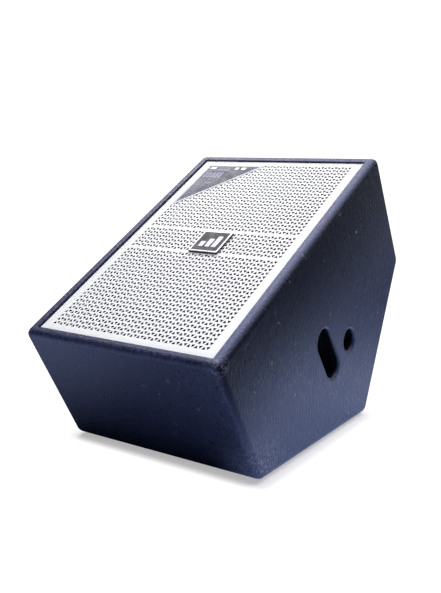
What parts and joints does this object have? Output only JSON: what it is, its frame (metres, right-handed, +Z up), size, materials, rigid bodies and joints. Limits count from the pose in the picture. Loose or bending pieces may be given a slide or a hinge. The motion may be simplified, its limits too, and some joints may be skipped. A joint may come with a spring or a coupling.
{
  "type": "stage monitor wedge",
  "caption": "Floor stage monitor: a wedge-shaped two-way loudspeaker with a white perforated grille, dark textured cabinet, hand slots and a pole socket.",
  "frame": {"origin": "the centre of the bounding box's bottom face, on the floor under the wedge", "axes": "+Z up, -Y towards the low front panel and the listener, +X towards the side with the pole socket"},
  "size_m": [0.376, 0.5872, 0.4586],
  "materials": {
    "textured_paint": "plywood under dark navy textured paint, satin",
    "plywood": "bare",
    "wadding": "matt",
    "white_steel": "white powder coat, satin",
    "black_foam": "matt open foam",
    "decal_film": "satin",
    "cast_frame": "black coat",
    "rubber": "matt",
    "paper": "pressed paper pulp",
    "copper": "enamelled copper",
    "cloth": "resin-treated cloth",
    "black_steel": "black, satin",
    "ferrite": "matt",
    "black_plastic": "moulded, satin",
    "titanium": "bright foil",
    "circuit_board": "solder mask",
    "capacitor_case": "gloss",
    "zinc_steel": "zinc plated",
    "cable": "satin jacket"
  },
  "bodies": {
    "cabinet": {"side_panel_left": "textured_paint", "side_panel_right": "textured_paint", "front_panel": "textured_paint", "bottom_panel": "textured_paint", "rear_lower_panel": "textured_paint", "rear_upper_panel": "textured_paint", "baffle_board": "plywood", "baffle_cleat_left": "plywood", "baffle_cleat_right": "plywood", "lining_pad": "wadding", "grille_screen": "white_steel", "badge_plate": "white_steel", "grille_foam": "black_foam", "badge_face": "decal_film", "grille_label": "decal_film", "woofer_frame": "cast_frame", "woofer_gasket": "rubber", "woofer_surround": "rubber", "foot_1": "rubber", "foot_2": "rubber", "foot_3": "rubber", "foot_4": "rubber", "crossover_inductor": "copper", "woofer_spider": "cloth", "hf_surround": "cloth", "woofer_top_plate": "black_steel", "woofer_back_plate": "black_steel", "woofer_screw_1": "black_steel", "woofer_screw_2": "black_steel", "woofer_screw_3": "black_steel", "woofer_screw_4": "black_steel", "hf_pole_plate": "black_steel", "hf_top_plate": "black_steel", "input_plate": "black_steel", "woofer_magnet": "ferrite", "hf_magnet": "ferrite", "horn": "black_plastic", "hf_rear_cover": "black_plastic", "port_tube_left": "black_plastic", "port_tube_right": "black_plastic", "speaker_socket_a": "black_plastic", "speaker_socket_b": "black_plastic", "mode_switch_body": "black_plastic", "handle_cup_left": "black_plastic", "handle_cup_right": "black_plastic", "pole_socket": "black_plastic", "crossover_board": "circuit_board", "crossover_capacitor": "capacitor_case", "input_plate_screw_1": "zinc_steel", "input_plate_screw_2": "zinc_steel", "input_plate_screw_3": "zinc_steel", "input_plate_screw_4": "zinc_steel", "wire_input": "cable", "wire_woofer": "cable", "wire_horn": "cable"},
    "woofer_cone": {"woofer_cone": "paper", "woofer_dust_cap": "paper", "voice_coil": "copper"},
    "hf_diaphragm": {"hf_diaphragm": "titanium"},
    "mode_switch_slider": {"mode_switch_slider": "black_plastic"}
  },
  "joints": [
    {"name": "woofer_travel", "type": "slide", "parent": "cabinet", "child": "woofer_cone", "axis": [0, -0.4618, 0.887], "range_m": [-0.005, 0.005], "stiffness_N_per_m": 6600, "deforming": ["woofer_surround", "woofer_spider"]},
    {"name": "hf_diaphragm_travel", "type": "slide", "parent": "cabinet", "child": "hf_diaphragm", "axis": [0, -0.4618, 0.887], "range_m": [-0.0004, 0.0004], "stiffness_N_per_m": 500, "deforming": ["hf_surround"]},
    {"name": "mode_switch_slide", "type": "slide", "parent": "cabinet", "child": "mode_switch_slider", "axis": [-1, 0, 0], "range_m": [0, 0.006]}
  ]
}
